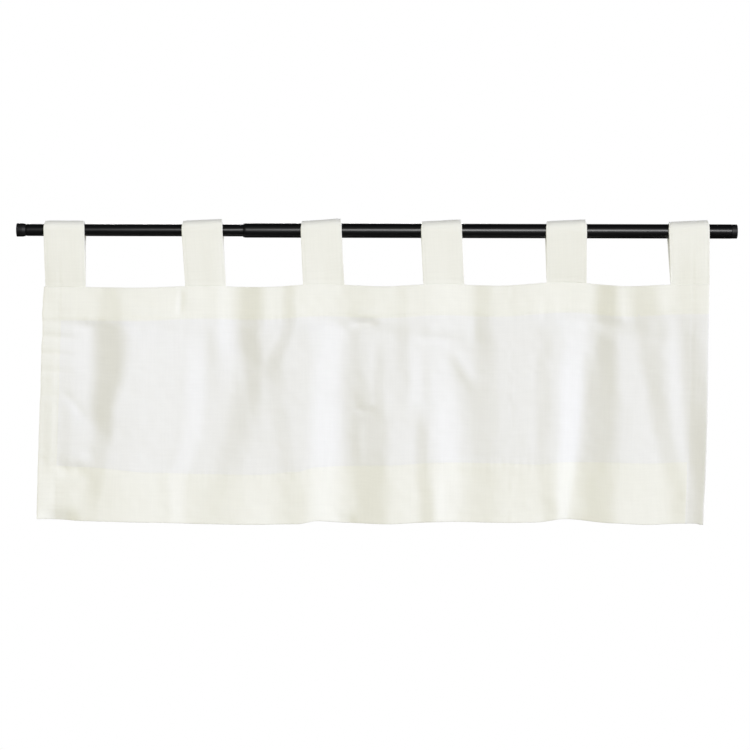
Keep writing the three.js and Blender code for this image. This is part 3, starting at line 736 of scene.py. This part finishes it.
def strap_path(tab, cross):
    """Inner face of a tab strap at shares of its width: points, outward directions and thickness.

    Rows run up in front of the rod, over it and down behind. The legs lie on the tangents to the rod.
    """
    arch_radius = tube_radius("rod_inner_tube" if on_thin_tube(tab) else "rod_outer_tube") + TAB_SEAT_GAP
    crown_x = tab.x + (cross - 0.5) * TAB_WIDTH
    seam_x = crown_x + tab.lean - tab.narrowing * (cross - 0.5)
    seam_across = (seam_x - HEADING_LEFT) / HEADING_WIDTH
    top = np.zeros_like(seam_across)
    seam = cloth_point(seam_across, top) - cloth_normal(seam_across, top) * CLOTH_THICKNESS
    seam[:, 2] -= TAB_END_SINK
    seam_angle = np.arctan2(seam[:, 2], seam[:, 1])
    tangent = np.arccos(arch_radius / np.hypot(seam[:, 1], seam[:, 2]))
    front_angle = seam_angle - tangent + TURN
    back_angle = seam_angle + tangent

    front = strap_leg(-1, front_angle, arch_radius, seam, crown_x)
    arch = strap_arch(tab, cross, front_angle, back_angle, arch_radius, crown_x)
    back = strap_leg(1, back_angle, arch_radius, seam, crown_x)
    joined = [np.concatenate([f, a, b[::-1]]) for f, a, b in zip(front, arch, back)]
    points, outward_y, outward_z, thickness = joined
    outward = np.stack([np.zeros_like(outward_y), outward_y, outward_z], axis=-1)
    outward /= np.linalg.norm(outward, axis=-1, keepdims=True)
    return points, outward, thickness


def strap_faces(tab, cross):
    """A strap's outer and inner points, thin at its edges and grooved where sewn, and the way out."""
    points, outward, thickness = strap_path(tab, cross)
    edge = np.minimum(cross, 1 - cross) * TAB_WIDTH
    rows = np.arange(len(points))[:, None]
    wave = soft_noise(cross * TAB_WIDTH + tab.x, rows * STRAP_ROW_STEP, STRAP_LUMP_SIZE, STRAP_SEED)
    middle = points + outward * (0.5 * thickness + STRAP_LUMP_DEPTH * wave)[..., None]
    half = 0.5 * thickness * edge_round(edge, TAB_LEG_THICKNESS)
    groove = np.exp(-(((edge - TAB_STITCH_INSET) / STRAP_GROOVE_WIDTH) ** 2))
    height = points[..., 2] - points[0, :, 2]
    groove = groove + np.exp(-(((height - TAB_BASE_LINE) / STRAP_GROOVE_WIDTH) ** 2))
    half = np.maximum(0, half - STRAP_GROOVE_DEPTH * groove)
    half[[0, -1]] = 0
    return middle + outward * half[..., None], middle - outward * half[..., None], outward


def strap_cross():
    """Shares of a strap's width at its columns, closer together at its edges."""
    edge = TAB_LEG_THICKNESS * np.array(EDGE_STEPS)
    count = round(TAB_WIDTH / TAB_COLUMN_SPACING)
    places = [edge, spaced(EDGE_COLUMN, TAB_WIDTH - EDGE_COLUMN, count), TAB_WIDTH - edge]
    return np.unique(np.round(np.concatenate(places), PLACE_DIGITS)) / TAB_WIDTH


def make_strap(tab, material):
    """One tab: a strap of double cloth from the heading over the rod and back."""
    outer, inner, _ = strap_faces(tab, strap_cross())
    # Painted light: the strap is painted creamy, as double cloth with less light shining through from
    # behind.
    backlight_tint = np.ones(outer.shape[:2])
    return sheet_object("strap_" + tab.name, outer[::-1], inner[::-1], backlight_tint, material)


def rounded_corner(before, corner, after, radius):
    """Points that round a corner of a turned outline."""
    toward = before - corner
    onward = after - corner
    start = corner + toward / np.linalg.norm(toward) * radius
    end = corner + onward / np.linalg.norm(onward) * radius
    parts = spaced(0, 1, ROUND_STEPS)
    return [(1 - t) ** 2 * start + 2 * t * (1 - t) * corner + t * t * end for t in parts]


def turned_object(name, outline, material):
    """A piece turned about the rod's axis from a closed outline of (x, radius, rounding) points."""
    corners = np.array([point[:2] for point in outline], float)
    profile = []
    for i, corner in enumerate(corners):
        if outline[i][2] == 0:
            profile.append(corner)
        else:
            after = corners[(i + 1) % len(corners)]
            profile += rounded_corner(corners[i - 1], corner, after, outline[i][2])
    profile = np.array(profile)
    angles = spaced(0, TURN, ROD_SIDES)[:-1]
    x = np.repeat(profile[:, :1], ROD_SIDES, axis=1)
    y = profile[:, 1:] * np.cos(angles)
    z = profile[:, 1:] * np.sin(angles)
    points = np.stack([x, y, z], axis=-1).reshape(-1, 3)
    index = np.arange(len(points)).reshape(len(profile), ROD_SIDES)
    index = np.pad(index, ((0, 1), (0, 1)), mode="wrap")
    piece = mesh_object(name, points, grid_faces(index), material)
    close_up(piece.data)
    return piece


def close_up(mesh):
    """Merges the points that meet on the axis and turns the faces outwards."""
    work = bmesh.new()
    work.from_mesh(mesh)
    bmesh.ops.remove_doubles(work, verts=work.verts, dist=MERGE_DISTANCE)
    bmesh.ops.dissolve_degenerate(work, edges=work.edges, dist=MERGE_DISTANCE)
    bmesh.ops.recalc_face_normals(work, faces=work.faces)
    work.to_mesh(mesh)
    work.free()
    mesh.shade_smooth()


def make_tube(name, node, lip, material):
    """A tube of the rod with a sloping lip at its left end."""
    low, high = node_box(node)
    radius = tube_radius(node)
    bore = radius - TUBE_WALL
    outline = (
        (low[0], bore, 0),
        (low[0], radius - TUBE_LIP_DEPTH, TUBE_EDGE_ROUND),
        (low[0] + lip, radius, LIP_ROUND_SHARE * lip),
        (high[0], radius, TUBE_EDGE_ROUND),
        (high[0], bore, 0),
    )
    return turned_object(name, outline, material)


def make_cap(name, node, tube_node, straight, material):
    """An end cap: a rubber button on its plug. After its straight part, if any, it tapers to its tube."""
    low, high = node_box(node)
    tube, radius = tube_radius(tube_node), tube_radius(node)
    plug = tube - TUBE_WALL - CAP_PLUG_PLAY
    length = high[0] - low[0]
    shoulder = length - CAP_PLUG_LENGTH
    outline = [(0, 0, 0), (0, radius, CAP_EDGE_ROUND)]
    if straight:
        outline += [(straight, radius, CAP_EDGE_ROUND), (shoulder, tube, CAP_LIP_ROUND)]
    else:
        outline += [(shoulder, radius, CAP_LIP_ROUND)]
    outline += [(shoulder, plug, 0), (length, plug, CAP_LIP_ROUND), (length, 0, 0)]
    face, inward = (low[0], 1) if low[0] < node_box(tube_node)[0][0] else (high[0], -1)
    outline = [(face + inward * depth, *rest) for depth, *rest in outline]
    return turned_object(name, outline, material)


def panel_lines():
    """Sewn lines on the front and the back of the panel and its facing, as lists of points."""
    across = spaced(STITCH_EDGE, HEADING_WIDTH - STITCH_EDGE, round(HEADING_WIDTH / STITCH_POINT_SPACING))
    across = across / HEADING_WIDTH
    drop = cloth_drop(across)
    inside = (across > SIDE_SEAM / HEADING_WIDTH) & (across < 1 - SIDE_SEAM / HEADING_WIDTH)
    hem_back = HEM_LAYERS * CLOTH_THICKNESS
    facing_back = 2 * CLOTH_THICKNESS + FACING_GAP
    lines = [
        sewn_line(across, heading_end(across), 0),
        sewn_line(across, STITCH_INSET / drop, 0),
        sewn_line(across, hem_seam(across), 0),
        sewn_line(across, hem_seam(across), hem_back),
        sewn_line(across[inside], heading_end(across[inside]), facing_back),
        sewn_line(across[inside], (STITCH_INSET / drop)[inside], facing_back),
    ]
    for place in (SIDE_SEAM, HEADING_WIDTH - SIDE_SEAM):
        column = np.full(SIDE_LINE_POINTS, place / HEADING_WIDTH)
        shares = spaced(SIDE_LINE_START, SIDE_LINE_END, SIDE_LINE_POINTS - 1)
        lines.append(sewn_line(column, shares, 0))
        below = shares > heading_end(column) + 2 * STITCH_INSET / cloth_drop(column)
        lines.append(sewn_line(column[below], shares[below], hem_back))
    return lines


def sewn_line(across, shares, depth):
    """Points of a sewn line that lies on the cloth, at a depth behind the panel's front face."""
    stand = THREAD_STAND if depth == 0 else -THREAD_STAND - depth
    return cloth_point(across, shares) + cloth_normal(across, shares) * stand


def strap_lines(tab):
    """The two lines of edge stitching on a strap."""
    inset = TAB_STITCH_INSET / TAB_WIDTH
    outer, _, outward = strap_faces(tab, np.array([inset, 1 - inset]))
    lines = (outer + outward * THREAD_STAND)[TAB_STITCH_TRIM:-TAB_STITCH_TRIM]
    return [lines[:, 0], lines[:, 1]]


def line_object(name, lines):
    """A mesh of bare edges along lists of points in millimetres."""
    points, edges = [], []
    for line in lines:
        first = len(points)
        points += (line * MM).tolist()
        edges += [(first + i, first + i + 1) for i in range(len(line) - 1)]
    mesh = bpy.data.meshes.new(name)
    mesh.from_pydata(points, edges, [])
    return linked(name, mesh)


def stitch_tree(material):
    """Geometry nodes that lay stitches of thread along bare edges."""
    tree = bpy.data.node_groups.new("sewn_stitches", "GeometryNodeTree")
    face = tree.interface
    face.new_socket("Lines", in_out="INPUT", socket_type="NodeSocketGeometry")
    for name in ("Stitch Pitch", "Stitch Length", "Thread Radius"):
        face.new_socket(name, in_out="INPUT", socket_type="NodeSocketFloat")
    face.new_socket("Seed", in_out="INPUT", socket_type="NodeSocketInt")
    face.new_socket("Stitches", in_out="OUTPUT", socket_type="NodeSocketGeometry")
    given = tree.nodes.new("NodeGroupInput").outputs
    result = tree.nodes.new("NodeGroupOutput")

    curve = add_node(tree, "GeometryNodeMeshToCurve", Mesh=given["Lines"])
    spots = tree.nodes.new("GeometryNodeCurveToPoints")
    spots.mode = "LENGTH"
    set_inputs(tree, spots, Curve=curve.outputs["Curve"], Length=given["Stitch Pitch"])
    bead = add_node(
        tree, "GeometryNodeMeshUVSphere", Segments=STITCH_SEGMENTS, Rings=STITCH_RINGS, Radius=1.0
    )
    vary = add_node(tree, "FunctionNodeRandomValue", Seed=given["Seed"])
    vary.data_type = "FLOAT"
    lowest, highest = vary.inputs[2:4]
    lowest.default_value = STITCH_SHORTEST
    highest.default_value = 1.0
    half = math_node(tree, "MULTIPLY", given["Stitch Length"], 0.5)
    length = math_node(tree, "MULTIPLY", half, vary.outputs[1])
    thread = given["Thread Radius"]
    size = add_node(tree, "ShaderNodeCombineXYZ", X=length, Y=thread, Z=thread)
    turn = add_node(tree, "FunctionNodeAlignRotationToVector", Vector=spots.outputs["Tangent"])
    turn.axis = "X"
    laid = add_node(tree, "GeometryNodeInstanceOnPoints", Points=spots.outputs["Points"])
    set_inputs(tree, laid, Instance=bead.outputs["Mesh"], Rotation=turn.outputs["Rotation"])
    set_inputs(tree, laid, Scale=size.outputs["Vector"])
    real = add_node(tree, "GeometryNodeRealizeInstances", Geometry=laid.outputs["Instances"])
    smooth = add_node(tree, "GeometryNodeSetShadeSmooth", Geometry=real.outputs["Geometry"])
    finish = add_node(tree, "GeometryNodeSetMaterial", Geometry=smooth.outputs["Geometry"])
    set_inputs(tree, finish, Material=material)
    set_inputs(tree, result, Stitches=finish.outputs["Geometry"])
    return tree


def add_node(tree, kind, **inputs):
    """A new node with its inputs set."""
    node = tree.nodes.new(kind)
    set_inputs(tree, node, **inputs)
    return node


def set_inputs(tree, node, **inputs):
    """Sets inputs of a node by their names, with _ for a space."""
    for name, value in inputs.items():
        connect(tree, value, node.inputs[name.replace("_", " ")])


def connect(tree, value, socket):
    """Links an output to a socket, or sets the socket to a value."""
    if isinstance(value, bpy.types.NodeSocket):
        tree.links.new(value, socket)
    else:
        socket.default_value = value


def math_node(tree, operation, first, second):
    """The result of a Math node."""
    node = tree.nodes.new("ShaderNodeMath")
    node.operation = operation
    connect(tree, first, node.inputs[0])
    connect(tree, second, node.inputs[1])
    return node.outputs[0]


def make_stitches(name, lines, tree):
    """Stitches along sewn lines, as a plain mesh."""
    base = line_object(name + "_lines", lines)
    modifier = base.modifiers.new("stitches", "NODES")
    modifier.node_group = tree
    sizes = {
        "Stitch Pitch": STITCH_PITCH * MM,
        "Stitch Length": STITCH_LENGTH * MM,
        "Thread Radius": THREAD_RADIUS * MM,
        "Seed": STITCH_SEED,
    }
    for item in tree.interface.items_tree:
        if item.in_out == "INPUT" and item.name in sizes:
            modifier[item.identifier] = sizes[item.name]
    shaped = base.evaluated_get(bpy.context.evaluated_depsgraph_get())
    mesh = bpy.data.meshes.new_from_object(shaped)
    mesh.name = name
    bpy.data.objects.remove(base)
    return linked(name, mesh)


def new_finish(name):
    """A new node material: the material, its tree and its main shader."""
    material = bpy.data.materials.new(name)
    material.use_nodes = True
    tree = material.node_tree
    return material, tree, tree.nodes["Principled BSDF"]


def thread_wave(tree, place, direction):
    """Rounded threads side by side, one each pitch."""
    wave = add_node(tree, "ShaderNodeTexWave", Vector=place, Scale=TURN / (WAVE_TURN * WEAVE_PITCH * MM))
    wave.bands_direction = direction
    set_inputs(tree, wave, Distortion=THREAD_WANDER, Detail_Scale=THREAD_WANDER_SCALE)
    return wave.outputs["Fac"]


def uneven(tree, place, scale, detail):
    """Noise stretched by a scale along each axis."""
    mapping = add_node(tree, "ShaderNodeMapping", Vector=place, Scale=scale)
    noise = add_node(tree, "ShaderNodeTexNoise", Vector=mapping.outputs["Vector"], Scale=1.0, Detail=detail)
    return noise.outputs["Fac"]


def ranged(tree, value, low, high):
    """A value between 0 and 1 moved to the range from low to high."""
    node = add_node(tree, "ShaderNodeMapRange", Value=value, To_Min=low, To_Max=high)
    return node.outputs["Result"]


def colour_mix(tree, kind, factor, first, second):
    """The colour of a Mix node."""
    node = tree.nodes.new("ShaderNodeMix")
    node.data_type = "RGBA"
    node.blend_type = kind
    connect(tree, factor, node.inputs[0])
    connect(tree, first, node.inputs[6])
    connect(tree, second, node.inputs[7])
    return node.outputs[2]


def raise_surface(tree, shader, height, strength, distance):
    """Bump of a height on a shader."""
    bump = add_node(tree, "ShaderNodeBump", Height=height, Strength=strength, Distance=distance)
    set_inputs(tree, shader, Normal=bump.outputs["Normal"])


def cotton_finish():
    """Plain woven cotton with faint slubs; painted light makes it cooler where single and creamier where
    double.
    """
    material, tree, shader = new_finish("cotton")
    uv = tree.nodes.new("ShaderNodeUVMap")
    uv.uv_map = "cloth"
    place = uv.outputs["UV"]
    # Painted light: the tint mixes the whiter colour painted for light through single cloth with the
    # creamier one of double cloth.
    backlight_field = tree.nodes.new("ShaderNodeAttribute")
    backlight_field.attribute_name = "backlight_tint"
    base = colour_mix(tree, "MIX", backlight_field.outputs["Fac"], COTTON_SINGLE_PAINTED_BACKLIGHT, COTTON_DOUBLE_PAINTED_BACKLIGHT)
    weft_slub = uneven(tree, place, WEFT_SLUB_SCALE, SLUB_DETAIL)
    warp_slub = uneven(tree, place, WARP_SLUB_SCALE, SLUB_DETAIL)
    slub = math_node(tree, "ADD", weft_slub, warp_slub)
    tone = ranged(tree, math_node(tree, "MULTIPLY", slub, 0.5), 1 - SLUB_TONE, 1 + SLUB_TONE)
    cloud = ranged(tree, uneven(tree, place, CLOUD_SCALE, CLOUD_DETAIL), 1 - CLOUD_TONE, 1 + CLOUD_TONE)
    shade = math_node(tree, "MULTIPLY", tone, cloud)
    set_inputs(tree, shader, Base_Color=colour_mix(tree, "MULTIPLY", 1.0, base, shade))
    weave = math_node(tree, "MULTIPLY", thread_wave(tree, place, "Y"), thread_wave(tree, place, "X"))
    height = math_node(tree, "ADD", weave, math_node(tree, "MULTIPLY", slub, SLUB_HEIGHT))
    raise_surface(tree, shader, height, *WEAVE_BUMP)
    set_inputs(tree, shader, Roughness=COTTON_ROUGHNESS, Specular_IOR_Level=COTTON_GLOSS)
    set_inputs(tree, shader, Sheen_Weight=COTTON_SHEEN, Sheen_Roughness=SHEEN_ROUGHNESS)
    return material


def toned_finish(name, look):
    """A finish that drifts between the colours of a look: its material, tree, shader and places."""
    material, tree, shader = new_finish(name)
    place = tree.nodes.new("ShaderNodeTexCoord").outputs["Object"]
    tone = uneven(tree, place, look.scale, look.detail)
    rough = look.rough
    if look.smooth < look.rough:
        rough = ranged(tree, tone, look.smooth, look.rough)
    set_inputs(tree, shader, Base_Color=colour_mix(tree, "MIX", tone, look.dark, look.light))
    set_inputs(tree, shader, Roughness=rough, Specular_IOR_Level=look.gloss)
    return material, tree, shader, place


def thread_finish():
    """Sewing thread: off-white, a little brighter than the cloth, with a fine twist."""
    material, tree, shader, place = toned_finish("thread", THREAD_LOOK)
    twist = add_node(tree, "ShaderNodeTexWave", Vector=place, Scale=THREAD_TWIST_SCALE)
    twist.bands_direction = "DIAGONAL"
    raise_surface(tree, shader, twist.outputs["Fac"], *THREAD_BUMP)
    return material


def grained_finish(name, look, grain, bump):
    """A finish of the rod's tubes or caps, with a fine grain."""
    material, tree, shader, place = toned_finish(name, look)
    raise_surface(tree, shader, uneven(tree, place, *grain), *bump)
    return material


def floor_finish():
    """Plain pale floor that glows a little."""
    material, tree, shader, _ = toned_finish("pale_floor", FLOOR_LOOK)
    set_inputs(tree, shader, Emission_Color=FLOOR_GLOW_COLOUR, Emission_Strength=FLOOR_GLOW)
    return material


def make_floor():
    """The staged floor, well below the valance, which takes no part in the light on the cloth."""
    half = 0.5 * FLOOR_SIZE
    middle = 0.5 * (cad_low + cad_high)
    mesh = bpy.data.meshes.new("floor")
    corners = [(middle.x + x * half, middle.y + y * half, FLOOR_HEIGHT) for x, y in FLOOR_CORNERS]
    mesh.from_pydata(corners, [], [(0, 1, 2, 3)])
    mesh.materials.append(floor_finish())
    floor = linked("floor", mesh)
    floor.visible_glossy = False
    floor.visible_diffuse = False


def make_camera():
    """The camera straight in front, turned by the photograph's small roll."""
    lens = bpy.data.cameras.new("camera")
    lens.lens = CAMERA_LENS
    lens.sensor_width = CAMERA_SENSOR
    camera = linked("camera", lens)
    camera.location = CAMERA_PLACE
    camera.rotation_euler = (math.radians(90), -math.radians(CAMERA_ROLL), 0)
    bpy.context.scene.camera = camera


def make_lights():
    """A soft cool key light and a softbox for the rod's gloss, both before and behind the cloth."""
    middle = 0.5 * (cad_low + cad_high)
    turned, raised = math.radians(KEY_TURN), math.radians(KEY_HEIGHT)
    for name, side in (("front", 1), ("back", -1)):
        key = bpy.data.lights.new(name + "_key", "SUN")
        key.energy = KEY_STRENGTH
        key.color = KEY_COLOUR
        key.angle = math.radians(KEY_SOFTNESS)
        toward = Vector((side * math.sin(turned), -side * math.cos(turned), math.tan(raised)))
        place_light(key, toward, toward)

        softbox = bpy.data.lights.new(name + "_softbox", "AREA")
        softbox.shape = "RECTANGLE"
        softbox.size, softbox.size_y = SOFTBOX_SIZE
        softbox.energy = SOFTBOX_POWER
        away = Vector(SOFTBOX_AWAY) * Vector((side, side, 1))
        place_light(softbox, middle + away, away).visible_diffuse = False


def place_light(light, place, backward):
    """A light at a place, shining away from the backward direction."""
    lamp = linked(light.name, light)
    lamp.location = place
    lamp.rotation_euler = backward.to_track_quat("Z", "Y").to_euler()
    return lamp


def make_world():
    """White for the camera, a warm fill mostly level with the cloth, and nearly dark for gloss."""
    world = bpy.data.worlds.new("studio")
    world.use_nodes = True
    tree = world.node_tree
    path = tree.nodes.new("ShaderNodeLightPath").outputs
    seen = add_node(tree, "ShaderNodeBackground", Color=WHITE, Strength=1.0)
    direction = tree.nodes.new("ShaderNodeTexCoord").outputs["Generated"]
    height = add_node(tree, "ShaderNodeSeparateXYZ", Vector=direction).outputs["Z"]
    level = math_node(tree, "SUBTRACT", 1.0, math_node(tree, "MULTIPLY", height, height))
    ring = math_node(tree, "MULTIPLY", math_node(tree, "POWER", level, FILL_NARROWING), FILL_STRENGTH)
    lean = math_node(tree, "SUBTRACT", 1.0, math_node(tree, "MULTIPLY", height, FILL_FROM_BELOW))
    glow = math_node(tree, "MULTIPLY", ring, lean)
    fill = add_node(tree, "ShaderNodeBackground", Color=FILL_COLOUR, Strength=glow)
    gloss = add_node(tree, "ShaderNodeBackground", Color=WHITE, Strength=GLOSS_STRENGTH)
    inner = add_node(tree, "ShaderNodeMixShader", Fac=path["Is Glossy Ray"])
    tree.links.new(fill.outputs[0], inner.inputs[1])
    tree.links.new(gloss.outputs[0], inner.inputs[2])
    outer = add_node(tree, "ShaderNodeMixShader", Fac=path["Is Camera Ray"])
    tree.links.new(inner.outputs[0], outer.inputs[1])
    tree.links.new(seen.outputs[0], outer.inputs[2])
    set_inputs(tree, tree.nodes["World Output"], Surface=outer.outputs[0])
    bpy.context.scene.world = world
    bpy.context.scene.view_settings.view_transform = "Standard"


def set_piece(piece, slot, *nodes):
    """A finished piece rides on the one body and stands for its CAD nodes, which are hidden."""
    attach(piece, "root")
    if nodes:
        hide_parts(*nodes)


cotton = cotton_finish()
paint = grained_finish("rod_paint", PAINT_LOOK, PAINT_GRAIN, PAINT_BUMP)
rubber = grained_finish("cap_rubber", RUBBER_LOOK, RUBBER_GRAIN, RUBBER_BUMP)
sewing = stitch_tree(thread_finish())

thin_tube = make_tube("rod_thin_tube", "rod_inner_tube", THIN_TUBE_LIP, paint)
thick_tube = make_tube("rod_thick_tube", "rod_outer_tube", THICK_TUBE_LIP, paint)
set_piece(thin_tube, "rod_paint", "rod_inner_tube")
set_piece(thick_tube, "rod_paint", "rod_outer_tube")
left_cap = make_cap("cap_left", "rod_cap_left", "rod_inner_tube", CAP_LEFT_STRAIGHT, rubber)
set_piece(left_cap, "cap_rubber", "rod_cap_left")
right_cap = make_cap("cap_right", "rod_cap_right", "rod_outer_tube", None, rubber)
set_piece(right_cap, "cap_rubber", "rod_cap_right")

panel = make_panel(cotton)
set_piece(panel, "cotton", "panel")
facing = make_facing(cotton)
set_piece(facing, "cotton", "heading_facing")
panel_stitches = make_stitches("panel_stitches", panel_lines(), sewing)
set_piece(panel_stitches, "cotton")

for tab in TABS:
    strap = make_strap(tab, cotton)
    set_piece(strap, "cotton", tab.name)
    stitches = make_stitches("stitches_" + tab.name, strap_lines(tab), sewing)
    set_piece(stitches, "cotton")

make_floor()
make_camera()
make_lights()
make_world()
